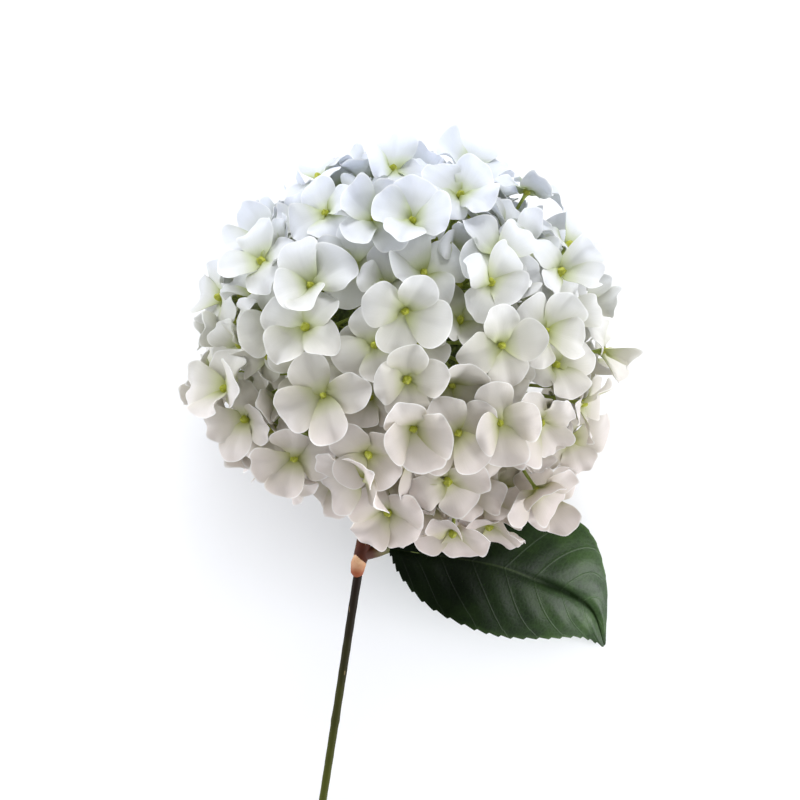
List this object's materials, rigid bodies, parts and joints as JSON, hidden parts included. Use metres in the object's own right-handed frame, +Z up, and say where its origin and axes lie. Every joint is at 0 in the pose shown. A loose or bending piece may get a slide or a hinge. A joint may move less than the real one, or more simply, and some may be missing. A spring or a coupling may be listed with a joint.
{
  "type": "cut hydrangea",
  "caption": "Cut mophead hydrangea lying on its side: a round white flower head, a long bare stem and one toothed leaf.",
  "frame": {"origin": "the spot under the middle of the flower head where it rests on the surface", "axes": "+Z up from the surface, -Y along the stem from the head to its cut end, +X towards the leaf's side"},
  "size_m": [0.1876, 0.4447, 0.1678],
  "materials": {
    "petals": "matte",
    "flower_stalks": "satin",
    "stem": "satin",
    "leaf": "satin"
  },
  "bodies": {
    "root": {"flower_head": "petals", "flower_stalks": "flower_stalks", "stem": "stem", "leaf": "leaf"}
  },
  "joints": []
}
